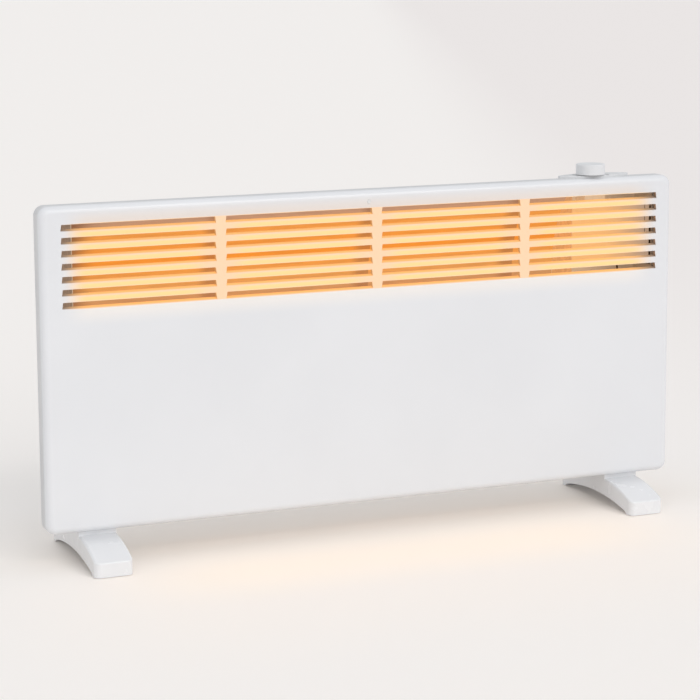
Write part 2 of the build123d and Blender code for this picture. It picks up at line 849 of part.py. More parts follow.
def lens_outline(inset):
    """The pointed oval of the control platform seen from above."""
    half_length = platform_length / 2 - inset
    half_depth = platform_depth / 2 - inset
    front = ThreePointArc((-half_length, 0), (0, -half_depth), (half_length, 0))
    rear = ThreePointArc((half_length, 0), (0, half_depth), (-half_length, 0))
    outline = make_face(Curve() + [front, rear])
    outline = fillet(outline.vertices(), platform_tip_radius)
    return Pos(knob_x + platform_offset_x, front_y + platform_front + platform_depth / 2) * outline


def control_platform():
    """The oval moulding under the knob. Behind the surround it drops to the rear housing."""
    plate = extrude(Pos(0, 0, top_z) * lens_outline(0), amount=platform_thickness)
    plate = fillet(plate.faces().sort_by(Axis.Z)[-1].edges(), platform_edge_radius)
    skirt_y = flange_back_y + platform_skirt_gap
    skirt_height = top_z - housing_top_z
    x_low = knob_x - platform_length
    x_high = knob_x + platform_length
    keep_outer = block(x_low, x_high, skirt_y, body_depth, housing_top_z, top_z)
    keep_inner = block(x_low, x_high, skirt_y + platform_wall, body_depth, housing_top_z, top_z)
    outer = extrude(Pos(0, 0, housing_top_z) * lens_outline(0), amount=skirt_height) & keep_outer
    inner = extrude(Pos(0, 0, housing_top_z) * lens_outline(platform_wall), amount=skirt_height)
    inner = inner & keep_inner
    hole = rod((knob_x, knob_y, top_z), (0, 0, 1), bush_radius + bush_clearance, 2 * platform_thickness)
    return one_solid(plate + (outer - inner) - hole)


def lamp_lens():
    """The clear indicator lens: a low dome in front, a flange behind the cover and a tail."""
    shank_length = cover_wall + lamp_dome_height
    shank = rod((lamp_x, front_y - lamp_dome_height, lamp_z), (0, 1, 0), lamp_radius, shank_length)
    shank = fillet(shank.faces().sort_by(Axis.Y)[0].edges(), lamp_dome_height)
    flange = rod((lamp_x, cover_inner_y, lamp_z), (0, 1, 0), lamp_flange_radius, lamp_flange_wall)
    tail_length = lamp_flange_wall + lamp_tail_length
    tail = rod((lamp_x, cover_inner_y, lamp_z), (0, 1, 0), lamp_radius, tail_length)
    return one_solid(shank + flange + tail)


def lamp_holder():
    """The holder behind the lens, with a socket for its tail."""
    y = cover_inner_y + lamp_flange_wall
    holder = rod((lamp_x, y, lamp_z), (0, 1, 0), lamp_holder_radius, lamp_holder_length)
    socket_depth = lamp_tail_length + lamp_clearance
    socket = rod((lamp_x, y, lamp_z), (0, 1, 0), lamp_radius + lamp_clearance, socket_depth)
    return one_solid(holder - socket)


def inlet_bush():
    """The rubber bush in the back wall where the supply cord enters."""
    outwards = (0, 1, 0)
    flange_start = (inlet_bush_x, back_y, inlet_bush_z)
    flange = rod(flange_start, outwards, inlet_bush_flange_radius, inlet_bush_flange_wall)
    outer_face = flange.faces().sort_by(Axis.Y)[-1]
    flange = fillet(outer_face.edges().sort_by(SortBy.RADIUS)[-1:], inlet_bush_edge_radius)
    body_length = inlet_bush_length - inlet_bush_flange_wall
    body_front_y = back_y - body_length
    body_start = (inlet_bush_x, body_front_y, inlet_bush_z)
    body = rod(body_start, outwards, inlet_bush_radius, body_length)
    collar_radius = (inlet_bush_radius + inlet_bush_flange_radius) / 2
    collar_y = wall_front_y - inlet_bush_flange_wall
    collar_start = (inlet_bush_x, collar_y, inlet_bush_z)
    collar = rod(collar_start, outwards, collar_radius, inlet_bush_flange_wall)
    bore = rod(body_start, outwards, inlet_bush_bore_radius, inlet_bush_length)
    return one_solid(flange + body + collar - bore)


def terminal_places():
    """The X of the terminals on the terminal block."""
    pitch = terminal_block_size[0] / terminal_count
    return [terminal_block_x + (n - (terminal_count - 1) / 2) * pitch for n in range(terminal_count)]


def wall_block(x, z, size):
    """A block that stands on the inside of the back wall."""
    width, depth, height = size
    y_low = wall_front_y - depth
    return block(x - width / 2, x + width / 2, y_low, wall_front_y, z - height / 2, z + height / 2)


def terminal_block():
    """The moulded block where the supply joins the wiring, with a pillar for each wire."""
    body = wall_block(terminal_block_x, terminal_block_z, terminal_block_size)
    pillars = []
    for x in terminal_places():
        base = (x, terminal_y, terminal_block_z + terminal_block_size[2] / 2)
        pillars.append(rod(base, (0, 0, 1), terminal_pillar_radius, terminal_pillar_height))
    return one_solid(body + pillars)


def tip_switch():
    """The sealed switch that cuts the current when the heater falls over."""
    body = wall_block(tip_switch_x, tip_switch_z, tip_switch_size)
    return one_solid(fillet(body.edges().filter_by(Axis.Y), tip_switch_corner_radius))


def thermal_cutout():
    """The round overheat switch on the partition, with its mounting plate."""
    x = duct_right_x + sheet_wall
    plate_x = x + cutout_flange_wall
    half_length = cutout_flange_length / 2
    y_low = cutout_y - cutout_radius
    y_high = cutout_y + cutout_radius
    plate = block(x, plate_x, y_low, y_high, cutout_z - half_length, cutout_z + half_length)
    body = rod((plate_x, cutout_y, cutout_z), (1, 0, 0), cutout_radius, cutout_length)
    return one_solid(plate + body)


def earth_stud():
    """The stud on the back wall that earths the steel."""
    start = (earth_stud_x, wall_front_y, earth_stud_z)
    return one_solid(rod(start, (0, -1, 0), earth_stud_radius, earth_stud_length))


def wire(points, bend, radius):
    """A round insulated wire along straight runs joined by tangent arcs."""
    path = FilletPolyline(*points, radius=bend)
    start = Plane(origin=path @ 0, z_dir=path % 0)
    return one_solid(sweep(start * Circle(radius), path=path))


def wires():
    """The wires of the control compartment, by name."""
    neutral_x, live_x, earth_x = terminal_places()
    terminal_top = terminal_block_z + terminal_block_size[2] / 2 + terminal_pillar_height
    switch_low = tip_switch_z - tip_switch_size[2] / 2
    switch_high = tip_switch_z + tip_switch_size[2] / 2
    thermostat_low = surround_top_z - thermostat_neck_length - thermostat_height
    cutout_end = duct_right_x + sheet_wall + cutout_flange_wall + cutout_length
    strap_top = element_z + board_wall / 2 + strap_wall
    strap_x = duct_right_x + board_overhang_right - strap_width
    front_row, rear_row = ribbon_rows()
    wire_y = knob_y + thermostat_depth / 2 - wire_margin
    supply = [
        (live_x, terminal_y, terminal_top),
        (live_x, terminal_y, terminal_top + supply_run),
        (tip_switch_x - supply_pin_offset, terminal_y, switch_low - supply_run),
        (tip_switch_x - supply_pin_offset, terminal_y, switch_low),
    ]
    switched_turn_y = terminal_y - switched_turn_shift
    switched = [
        (tip_switch_x, terminal_y, switch_high),
        (tip_switch_x, terminal_y, switch_high + switched_run),
        (tip_switch_x - switched_turn_shift, switched_turn_y, switch_high + switched_turn_rise),
        (knob_x + thermostat_pin_offset, wire_y, thermostat_low - switched_end_run),
        (knob_x + thermostat_pin_offset, wire_y, thermostat_low),
    ]
    regulated_turn_x = cutout_end + regulated_turn_offset
    regulated = [
        (knob_x - thermostat_pin_offset, wire_y, thermostat_low),
        (knob_x - thermostat_pin_offset, wire_y, thermostat_low - regulated_run),
        (regulated_turn_x, cutout_y, cutout_z + regulated_turn_rise),
        (regulated_turn_x, cutout_y, cutout_z + cutout_pin_offset),
        (cutout_end, cutout_y, cutout_z + cutout_pin_offset),
    ]
    element_feed_x = cutout_end + element_feed_offset
    element_feed = [
        (cutout_end, cutout_y, cutout_z - cutout_pin_offset),
        (element_feed_x, cutout_y, cutout_z - cutout_pin_offset),
        (element_feed_x, front_row, strap_top + element_feed_rise),
        (strap_x, front_row, strap_top + element_feed_run),
        (strap_x, front_row, strap_top),
    ]
    neutral_turn_x = strap_x + neutral_shift
    neutral = [
        (strap_x, rear_row, strap_top),
        (strap_x, rear_row, strap_top + neutral_rise),
        (neutral_turn_x, rear_row + neutral_step, strap_top + neutral_rise),
        (neutral_turn_x, rear_row + 2 * neutral_step, strap_top - neutral_fall),
        (neutral_x, terminal_y, terminal_top + neutral_run),
        (neutral_x, terminal_y, terminal_top),
    ]
    stud_end = wall_front_y - earth_stud_length
    earth = [
        (earth_x, terminal_y, terminal_top),
        (earth_x, terminal_y, terminal_top + earth_run),
        (earth_stud_x, stud_end - earth_run, earth_stud_z),
        (earth_stud_x, stud_end, earth_stud_z),
    ]
    return {
        "wire_supply": wire(supply, supply_bend, wire_radius),
        "wire_switched": wire(switched, switched_bend, wire_radius),
        "wire_regulated": wire(regulated, regulated_bend, wire_radius),
        "wire_element": wire(element_feed, element_feed_bend, wire_radius),
        "wire_neutral": wire(neutral, neutral_bend, wire_radius),
        "wire_earth": wire(earth, earth_bend, wire_radius),
    }


def lamp_wires():
    """The pair of thin wires from the lamp holder to the thermostat, along the top of the case."""
    holder_end = cover_inner_y + lamp_flange_wall + lamp_holder_length
    run_y = baffle_front_y - lamp_wire_radius - lamp_wire_clearance
    thermostat_x = knob_x - thermostat_width / 2
    pair = []
    for step in (-1, 1):
        z = lamp_z + step * lamp_wire_spacing / 2
        route = [
            (lamp_x, holder_end, z),
            (lamp_x, run_y, z),
            (thermostat_x - lamp_wire_turn, run_y, z),
            (thermostat_x - lamp_wire_end_run, run_y, z - lamp_wire_drop),
            (thermostat_x, run_y, z - lamp_wire_drop),
        ]
        pair.append(wire(route, lamp_wire_bend, lamp_wire_radius))
    return Compound(pair)


def save(name, shape):
    """Writes one node."""
    export_step(shape, f"parts/{name}.step")


save("front_cover", front_cover())
save("surround_frame", surround_frame())
save("rear_housing", rear_housing())
save("case_screws", case_screws())
save("foot_left", foot(-1))
save("foot_right", foot(1))
save("foot_pads", foot_pads())
save("foot_screws", foot_screws())
save("foot_nuts", foot_nuts())
save("baffle_left", side_baffle(duct_left_x, -1))
save("baffle_right", side_baffle(duct_right_x, 1))
save("heat_shield", heat_shield())
save("air_guide", air_guide())
save("mica_board", mica_board())
save("heating_ribbon_front", heating_ribbon(ribbon_rows()[0]))
save("heating_ribbon_rear", heating_ribbon(ribbon_rows()[1]))
save("ribbon_link", ribbon_link())
save("element_terminals", element_terminals())
save("element_hanger", element_hanger())
save("control_cover", control_cover())
save("thermostat", thermostat())
save("thermostat_nut", thermostat_nut())
save("thermostat_shaft", thermostat_shaft())
save("knob", knob())
save("control_platform", control_platform())
save("lamp_lens", lamp_lens())
save("lamp_holder", lamp_holder())
save("inlet_bush", inlet_bush())
save("terminal_block", terminal_block())
save("tip_switch", tip_switch())
save("thermal_cutout", thermal_cutout())
save("earth_stud", earth_stud())
save("lamp_wires", lamp_wires())
for wire_name, wire_solid in wires().items():
    save(wire_name, wire_solid)
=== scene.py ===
# %% [markdown]
# # A panel convector heater
# The heater stands on two low feet and glows through four groups of louvre slots. The engineering
# model gives every piece its exact shape and place. This script dresses it: it adds a camera, soft
# light and a floor, gives each piece the finish of the real material, and adds small parts that are
# too fine for an engineering model. Every length is in metres.

# %% Load the heater
import math

import bpy
from mathutils import Matrix, Vector


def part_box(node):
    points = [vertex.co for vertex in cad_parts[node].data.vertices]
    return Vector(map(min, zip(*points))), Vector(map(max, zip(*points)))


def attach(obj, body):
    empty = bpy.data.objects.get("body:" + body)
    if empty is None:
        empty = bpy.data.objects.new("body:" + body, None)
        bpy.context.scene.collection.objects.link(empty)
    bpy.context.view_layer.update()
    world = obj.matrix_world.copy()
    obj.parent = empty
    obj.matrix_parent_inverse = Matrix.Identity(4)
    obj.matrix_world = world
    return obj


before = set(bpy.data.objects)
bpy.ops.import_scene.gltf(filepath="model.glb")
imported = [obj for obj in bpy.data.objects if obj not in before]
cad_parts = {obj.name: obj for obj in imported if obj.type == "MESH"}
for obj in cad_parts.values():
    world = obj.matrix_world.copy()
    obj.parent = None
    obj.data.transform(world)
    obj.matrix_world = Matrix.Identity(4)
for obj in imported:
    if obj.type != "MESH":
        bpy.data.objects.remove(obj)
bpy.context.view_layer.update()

bpy.ops.object.select_all(action="DESELECT")

# %% [markdown]
# ## Camera
# The picture was taken a little from the left and from above, with a long lens, so the edges run
# almost parallel. A small downward shift of the lens keeps the upright edges upright, which tilting
# the camera alone would not do. The angles come from fitting the corners of the body and its slots.

# %% Set the camera
lens_pixels = 2225.0
image_pixels = 700.0
lens_shift = -0.1
camera_place = (-1.0438, -2.5037, 0.7278)
camera_yaw = math.radians(-22.31)
camera_pitch = math.radians(8.71)
camera_roll = math.radians(-0.35)

camera_data = bpy.data.cameras.new("camera")
camera_data.sensor_width = 36.0
camera_data.lens = lens_pixels * camera_data.sensor_width / image_pixels
camera_data.shift_y = lens_shift
camera = bpy.data.objects.new("camera", camera_data)
bpy.context.scene.collection.objects.link(camera)
camera.location = camera_place
camera.rotation_euler = (
    Matrix.Rotation(camera_yaw, 3, "Z")
    @ Matrix.Rotation(math.radians(90.0) - camera_pitch, 3, "X")
    @ Matrix.Rotation(camera_roll, 3, "Z")
).to_euler()
bpy.context.scene.camera = camera
bpy.context.scene.view_settings.view_transform = "Standard"
print("lens", round(camera_data.lens, 1), "mm")

# %% [markdown]
# ## Light
# A studio photograph of white goods uses a bright, even room and one large soft lamp. The world is
# the even room, and a sun with a wide angle is the soft lamp: unlike an area lamp it lights a large
# floor evenly, so the floor can run out to the horizon without a wall. It comes from the front, so
# the cover is the brightest face and the sides and the top stay a little darker. A second, weak and
# narrow one stands to the right, where the rounded top edge mirrors it as a thin line.

# %% Light the room
room = bpy.data.worlds.new("room")
bpy.context.scene.world = room
room.use_nodes = True
even_light = room.node_tree.nodes["Background"]
even_light.inputs["Color"].default_value = (0.975, 0.985, 1.0, 1.0)
even_light.inputs["Strength"].default_value = 0.72
print("room light", round(even_light.inputs["Strength"].default_value, 2))


def soft_sun(name, energy, spread_degrees, from_where):
    """A sun lamp that shines from a direction. The wider it is, the softer its shadow."""
    lamp_data = bpy.data.lights.new(name, "SUN")
    lamp_data.energy = energy
    lamp_data.angle = math.radians(spread_degrees)
    lamp_data.color = (1.0, 0.985, 0.97)
    lamp = bpy.data.objects.new(name, lamp_data)
    bpy.context.scene.collection.objects.link(lamp)
    lamp.rotation_euler = Vector(from_where).to_track_quat("Z", "Y").to_euler()
    print(name, energy)


soft_sun("soft_lamp", 0.80, 45.0, (0.12, -0.86, 0.50))
soft_sun("edge_lamp", 0.16, 8.0, (0.38, -0.68, 0.61))

# %% [markdown]
# ## Helpers for finishes
# A finish is a small network of nodes. These helpers make the parts that every finish shares: the
# shader with its constant values, the place on the piece, masks, noise, a colour that drifts
# between two values, and a fine relief. Object coordinates are used because a pattern then stays
# put on the piece, whatever the camera does.

# %% The shader and its links
black = (0.0, 0.0, 0.0)


def finish(name, colour, roughness, metallic=0.0):
    """A new finish. Its constant values sit on the shader's own sockets."""
    material = bpy.data.materials.new(name)
    material.use_nodes = True
    shader = shader_of(material)
    shader.inputs["Base Color"].default_value = (*colour, 1.0)
    shader.inputs["Roughness"].default_value = roughness
    shader.inputs["Metallic"].default_value = metallic
    return material


def shader_of(material):
    return material.node_tree.nodes["Principled BSDF"]


def add(material, kind, **settings):
    """A new node in the finish."""
    made = material.node_tree.nodes.new("ShaderNode" + kind)
    for key, value in settings.items():
        setattr(made, key, value)
    return made


def link(material, source, target):
    material.node_tree.links.new(source, target)


def feed(material, socket, value):
    """Gives a socket a number, a colour or the output of another node."""
    if isinstance(value, tuple):
        socket.default_value = (*value, 1.0)
    elif isinstance(value, float):
        socket.default_value = value
    else:
        link(material, value, socket)


def paint(material, colour):
    """Sets the colour of the surface."""
    feed(material, shader_of(material).inputs["Base Color"], colour)


def light_up(material, colour, strength=1.0):
    """Sets the light that the surface gives off by itself."""
    feed(material, shader_of(material).inputs["Emission Color"], colour)
    shader_of(material).inputs["Emission Strength"].default_value = strength


# %% Places on the piece
def place(material, stretch=(1.0, 1.0, 1.0), turn=0.0):
    """The place on the piece, stretched along each axis and turned about Z."""
    coordinates = add(material, "TexCoord")
    mapping = add(material, "Mapping")
    mapping.inputs["Scale"].default_value = stretch
    mapping.inputs["Rotation"].default_value = (0.0, 0.0, turn)
    link(material, coordinates.outputs["Object"], mapping.inputs["Vector"])
    return mapping.outputs["Vector"]


def part_of(material, vector, name):
    """The X, Y or Z of a vector."""
    split = add(material, "SeparateXYZ")
    link(material, vector, split.inputs["Vector"])
    return split.outputs[name]


def axis(material, name):
    """One coordinate of the place on the piece."""
    return part_of(material, add(material, "TexCoord").outputs["Object"], name)


def facing(material, name):
    """One coordinate of the direction in which the surface faces."""
    return part_of(material, add(material, "TexCoord").outputs["Normal"], name)


# %% Arithmetic and masks
def calculate(material, operation, *values, clamp=False):
    """One step of arithmetic. Each value is a number or an output."""
    node = add(material, "Math", operation=operation, use_clamp=clamp)
    for socket, value in zip(node.inputs, values):
        feed(material, socket, value)
    return node.outputs[0]


def between(material, value, low, high, to_low=0.0, to_high=1.0, curve="SMOOTHSTEP"):
    """A value mapped from one range to another, and held at its ends."""
    node = add(material, "MapRange", interpolation_type=curve)
    node.inputs["From Min"].default_value = low
    node.inputs["From Max"].default_value = high
    node.inputs["To Min"].default_value = to_low
    node.inputs["To Max"].default_value = to_high
    link(material, value, node.inputs["Value"])
    return node.outputs["Result"]


def product(material, *masks):
    """Masks multiplied together."""
    result = masks[0]
    for mask in masks[1:]:
        result = calculate(material, "MULTIPLY", result, mask)
    return result


def window(material, value, opens, opened, closes, closed):
    """A mask that rises between its first two places and falls between its last two."""
    return product(
        material,
        between(material, value, opens, opened),
        between(material, value, closes, closed, 1.0, 0.0),
    )


# %% Noise, drift and relief
def noise(material, scale, detail=2.0, stretch=(1.0, 1.0, 1.0)):
    """Noise in the object's own coordinates. The scale is in waves a metre."""
    texture = add(material, "TexNoise")
    texture.inputs["Scale"].default_value = scale
    texture.inputs["Detail"].default_value = detail
    link(material, place(material, stretch), texture.inputs["Vector"])
    return texture.outputs["Fac"]


def blend(material, factor, first, second):
    """A colour between two others. Each is a colour or an output."""
    mix = add(material, "Mix", data_type="RGBA")
    feed(material, mix.inputs[6], first)
    feed(material, mix.inputs[7], second)
    link(material, factor, mix.inputs[0])
    return mix.outputs[2]


def relief(material, height, depth):
    """Fine bumps whose full height is the depth."""
    bump = add(material, "Bump")
    bump.inputs["Strength"].default_value = 1.0
    bump.inputs["Distance"].default_value = depth
    link(material, height, bump.inputs["Height"])
    link(material, bump.outputs["Normal"], shader_of(material).inputs["Normal"])


def drift(material, scale, first, second, stretch=(1.0, 1.0, 1.0)):
    """A surface colour that drifts between two near values."""
    factor = between(material, noise(material, scale, 3.0, stretch), 0.35, 0.65)
    colour = blend(material, factor, first, second)
    paint(material, colour)
    return colour


def wear(material, scale, low, high):
    """Roughness that varies over the surface as handling and casting leave it."""
    value = between(material, noise(material, scale, 4.0), 0.3, 0.7, low, high)
    link(material, value, shader_of(material).inputs["Roughness"])


def dress(material, *names):
    """Gives the finish to pieces of the engineering model, by name."""
    for name in names:
        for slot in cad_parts[name].material_slots:
            slot.material = material
    print(material.name, "on", ", ".join(names))


# %% [markdown]
# ## Floor
# The heater stands on a wide sheet of pale paper. The light from the slots warms the paper in
# front, as painted light. Behind the heater the paper is painted a warmer, darker shade, and a
# painted falloff of light makes it a little darker to the right. All are in the colour of the
# paper, as masks worked out from the place on it. A lit sheet also gives back light of its own,
# which keeps the shadow soft. That light shows to the camera, in mirror images and through clear
# parts. It adds nothing to the soft light that falls on the heater.

# %% Find the warm patch of the floor
floor_finish = finish("floor_paper", (0.90, 0.872, 0.845), 0.9)
glow_y = -0.13
floor_y = axis(floor_finish, "Y")
from_middle = calculate(floor_finish, "ABSOLUTE", axis(floor_finish, "X"))
from_glow = calculate(floor_finish, "ABSOLUTE", calculate(floor_finish, "SUBTRACT", floor_y, glow_y))
glow = product(
    floor_finish,
    between(floor_finish, from_middle, 0.18, 0.42, 1.0, 0.0),
    between(floor_finish, from_glow, 0.0, 0.14, 1.0, 0.0),
)
warm = product(
    floor_finish,
    between(floor_finish, from_middle, 0.25, 0.62, 1.0, 0.0),
    between(floor_finish, from_glow, 0.05, 0.42, 1.0, 0.0),
)
print("warm patch", abs(glow_y), "m in front of the middle")

# %% Colour the floor
# A painted falloff of light makes the paper a little darker to the right.
view_turn = math.radians(22.0)
aside = part_of(floor_finish, place(floor_finish, turn=view_turn), "X")
painted_falloff = between(floor_finish, aside, 0.25, 0.90)
paper = blend(floor_finish, painted_falloff, (0.944, 0.915, 0.888), (0.874, 0.832, 0.814))
# Painted warm light lightens the paper in front of the heater, and painted warm shade darkens it behind.
behind = between(floor_finish, floor_y, -0.09, 0.02)
painted_warm_paper = blend(floor_finish, behind, (0.984, 0.922, 0.866), (0.90, 0.825, 0.745))
warmed = blend(floor_finish, warm, paper, painted_warm_paper)
paint(floor_finish, blend(floor_finish, glow, warmed, (0.99, 0.90, 0.805)))
relief(floor_finish, noise(floor_finish, 900.0), 0.00005)

# %% Light the floor for the camera
seen = add(floor_finish, "LightPath").outputs
to_eye = calculate(floor_finish, "ADD", seen["Is Camera Ray"], seen["Is Glossy Ray"])
to_lens = calculate(floor_finish, "ADD", to_eye, seen["Is Transmission Ray"], clamp=True)
paper_light = blend(floor_finish, glow, (0.070, 0.067, 0.066), (0.15, 0.11, 0.08))
light_up(floor_finish, blend(floor_finish, to_lens, black, paper_light))

# %% Lay the floor
floor_width = 120.0
bpy.ops.mesh.primitive_plane_add(size=floor_width, location=(0.0, 0.0, 0.0))
floor = bpy.context.object
floor.name = "floor"
floor.data.materials.append(floor_finish)
print("floor laid,", floor_width, "m wide")

# %% [markdown]
# ## White powder coat
# The front cover is pressed steel with a baked powder coat: satin white, with the very fine
# orange-peel texture of melted powder. The slots let the heat and the orange light of the element
# out, so the bars between them and the pillars are lit warm. The light falls off towards both ends
# and leaves a faint blush above and below. All of it is worked out from the place on the piece.

# %% The place of the grille
front_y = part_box("front_cover")[0][1]
grille_top = 0.4058
grille_base = 0.3072
grille_left = -0.390
grille_right = 0.3933
row_pitch = 0.01512
group_pitch = 0.2004
print("grille", round(grille_right - grille_left, 4), "m wide")


def cycle(material, value, start, length):
    """How far a value is through a repeat, from 0 to 1."""
    shifted = calculate(material, "SUBTRACT", value, start)
    return calculate(material, "FRACT", calculate(material, "DIVIDE", shifted, length))


def colour_stops(material, value, stops):
    """A colour that runs through stops of place and colour."""
    node = add(material, "ValToRGB")
    ramp = node.color_ramp
    ramp.interpolation = "EASE"
    ramp.elements[0].position, ramp.elements[0].color = stops[0][0], (*stops[0][1], 1.0)
    ramp.elements[1].position, ramp.elements[1].color = stops[-1][0], (*stops[-1][1], 1.0)
    for position, colour in stops[1:-1]:
        ramp.elements.new(position).color = (*colour, 1.0)
    link(material, value, node.inputs["Fac"])
    return node.outputs["Color"]


# %% Where the light of the grille falls
white = (0.80, 0.812, 0.838)
cover_coat = finish("cover_powder_coat", white, 0.26)
height = axis(cover_coat, "Z")
along = axis(cover_coat, "X")
ends = window(
    cover_coat, along, grille_left - 0.002, grille_left + 0.035, grille_right - 0.045, grille_right + 0.004
)
near_rows = window(cover_coat, height, grille_base - 0.024, grille_base, grille_top, grille_top + 0.019)
in_rows = window(cover_coat, height, grille_base - 0.001, grille_base, grille_top, grille_top + 0.001)
group_place = cycle(cover_coat, along, grille_left, group_pitch)
group_ends = window(cover_coat, group_place, 0.0, 0.15, 0.74, 0.925)
blush = product(cover_coat, ends, near_rows)
pillar_light = product(cover_coat, ends, in_rows)
bar_light = product(cover_coat, pillar_light, group_ends)

# %% Colour the front of the cover
plain = drift(cover_coat, 5.0, white, (0.78, 0.792, 0.818))
blush_rise = between(cover_coat, height, grille_base, grille_top)
blush_colour = blend(cover_coat, blush_rise, (0.90, 0.865, 0.833), (0.825, 0.745, 0.685))
blushed = blend(cover_coat, blush, plain, blush_colour)
row_place = cycle(cover_coat, height, grille_top - row_pitch, row_pitch)
bar_colour = colour_stops(cover_coat, row_place, [
    (0.0, (0.90, 0.66, 0.44)),
    (0.12, (0.92, 0.655, 0.30)),
    (0.28, (0.93, 0.67, 0.31)),
    (0.43, (0.90, 0.63, 0.46)),
    (1.0, (0.90, 0.63, 0.46)),
])
peach = blend(cover_coat, pillar_light, blushed, (0.90, 0.65, 0.45))
lit = blend(cover_coat, bar_light, peach, bar_colour)

# %% Colour the ledges in the slots
behind_front = between(cover_coat, axis(cover_coat, "Y"), front_y + 0.0003, front_y + 0.0014)
slot_rows = window(
    cover_coat, height, grille_base - 0.003, grille_base - 0.002, grille_top + 0.002, grille_top + 0.003
)
slot_reach = window(
    cover_coat, along, grille_left - 0.004, grille_left - 0.003, grille_right + 0.003, grille_right + 0.004
)
inward = product(cover_coat, behind_front, slot_rows, slot_reach)
# The ledges that face up carry painted orange light, dimmer towards the ends of the grille, and the side
# walls of the slots carry painted brown shade.
ledge_painted_light = blend(
    cover_coat,
    between(cover_coat, facing(cover_coat, "Z"), 0.3, 0.7),
    (0.42, 0.30, 0.22),
    blend(cover_coat, ends, (0.40, 0.33, 0.28), (0.93, 0.55, 0.23)),
)

# %% Coat the front cover
paint(cover_coat, blend(cover_coat, inward, lit, ledge_painted_light))
pillar_glow = blend(cover_coat, pillar_light, black, (0.14, 0.07, 0.02))
bar_glow = blend(cover_coat, bar_light, pillar_glow, (0.16, 0.10, 0.03))
ledge_light = product(cover_coat, inward, ends)
light_up(cover_coat, blend(cover_coat, ledge_light, bar_glow, (0.26, 0.14, 0.04)))
relief(cover_coat, noise(cover_coat, 1400.0), 0.00002)
dress(cover_coat, "front_cover")

# %% [markdown]
# ## The rear housing
# The housing is a folded steel tray with a coarser coat. The element lights its inner wall, as a
# painted glow. The compartment for the controls, at the right, is closed and gets no light, so the
# small holes in its cover look dark. There the inner faces carry painted shade, almost black, and
# give no light.

# %% Coat the rear housing
housing_white = (0.76, 0.77, 0.785)
housing_coat = finish("housing_powder_coat", housing_white, 0.5)
housing_colour = drift(housing_coat, 6.0, housing_white, (0.73, 0.74, 0.755))
relief(housing_coat, noise(housing_coat, 1100.0, 3.0), 0.00006)
housing_along = axis(housing_coat, "X")
faces_back = facing(housing_coat, "Y")
compartment_left = 0.30
# The inner wall gives off painted orange light of the element, less towards the compartment.
inner_light = product(
    housing_coat,
    between(housing_coat, faces_back, -0.9, -0.6, 1.0, 0.0),
    between(housing_coat, housing_along, compartment_left, compartment_left + 0.10, 1.0, 0.3),
)
inner_glow = blend(housing_coat, inner_light, black, (0.30, 0.21, 0.14))

# %% Shut the compartment away from the light
compartment_base = 0.306
compartment_top = 0.388
# The inner faces of the compartment are painted almost black as painted shade.
compartment = product(
    housing_coat,
    between(housing_coat, axis(housing_coat, "Z"), compartment_base, compartment_base + 0.004),
    between(housing_coat, axis(housing_coat, "Z"), compartment_top - 0.006, compartment_top, 1.0, 0.0),
    between(housing_coat, housing_along, compartment_left, compartment_left + 0.04),
    between(housing_coat, facing(housing_coat, "Z"), 0.5, 0.7, 1.0, 0.0),
    between(housing_coat, facing(housing_coat, "X"), 0.02, 0.2, 1.0, 0.0),
    between(housing_coat, faces_back, 0.02, 0.2, 1.0, 0.0),
)
paint(housing_coat, blend(housing_coat, compartment, housing_colour, (0.06, 0.045, 0.035)))
light_up(housing_coat, blend(housing_coat, compartment, inner_glow, black))
dress(housing_coat, "rear_housing")

# %% [markdown]
# ## White mouldings
# The surround, the platform under the knob and the feet are moulded in white plastic. The feet are
# polished and show sharp highlights. The surround is satin, from a lightly etched mould, and its
# colour is a little greyer than the coat of the cover: partly its own tone and partly painted shade
# for its side and top strips. Flow in the mould leaves a slow drift in the gloss, which the
# roughness noise gives.

# %% Mould the surround and the platform
# The grey of the surround is partly its own tone and partly painted shade for its side and top strips.
surround_white = (0.675, 0.68, 0.692)
surround_plastic = finish("surround_moulding", surround_white, 0.42)
drift(surround_plastic, 7.0, surround_white, (0.65, 0.655, 0.667))
wear(surround_plastic, 30.0, 0.38, 0.5)
relief(surround_plastic, noise(surround_plastic, 2200.0), 0.00001)
dress(surround_plastic, "surround_frame")

platform_white = (0.735, 0.745, 0.755)
platform_plastic = finish("platform_moulding", platform_white, 0.38)
drift(platform_plastic, 25.0, platform_white, (0.705, 0.715, 0.725))
wear(platform_plastic, 60.0, 0.34, 0.46)
relief(platform_plastic, noise(platform_plastic, 2600.0), 0.00001)
dress(platform_plastic, "control_platform")

# %% Mould the feet
foot_white = (0.84, 0.85, 0.87)
foot_plastic = finish("foot_moulding", foot_white, 0.22)
drift(foot_plastic, 14.0, foot_white, (0.82, 0.83, 0.85))
wear(foot_plastic, 40.0, 0.18, 0.28)
relief(foot_plastic, noise(foot_plastic, 300.0), 0.000008)
shader_of(foot_plastic).inputs["Coat Weight"].default_value = 0.4
shader_of(foot_plastic).inputs["Coat Roughness"].default_value = 0.1
dress(foot_plastic, "foot_left", "foot_right")

# %% [markdown]
# ## Knob and indicator
# The thermostat knob is a plain satin cap. Turning it has polished its side, so the roughness
# varies round it. The indicator is a small clear lens, and it is not lit here.

# %% Mould the knob and the lens
knob_white = (0.775, 0.785, 0.80)
knob_plastic = finish("knob_moulding", knob_white, 0.34)
drift(knob_plastic, 60.0, knob_white, (0.755, 0.765, 0.78))
wear(knob_plastic, 120.0, 0.28, 0.42)
relief(knob_plastic, noise(knob_plastic, 2600.0), 0.00001)
dress(knob_plastic, "knob")

lens_grey = (0.90, 0.90, 0.89)
lens_plastic = finish("lens_clear", lens_grey, 0.12)
drift(lens_plastic, 300.0, lens_grey, (0.86, 0.86, 0.85))
wear(lens_plastic, 500.0, 0.08, 0.16)
shader_of(lens_plastic).inputs["Transmission Weight"].default_value = 0.15
dress(lens_plastic, "lamp_lens")

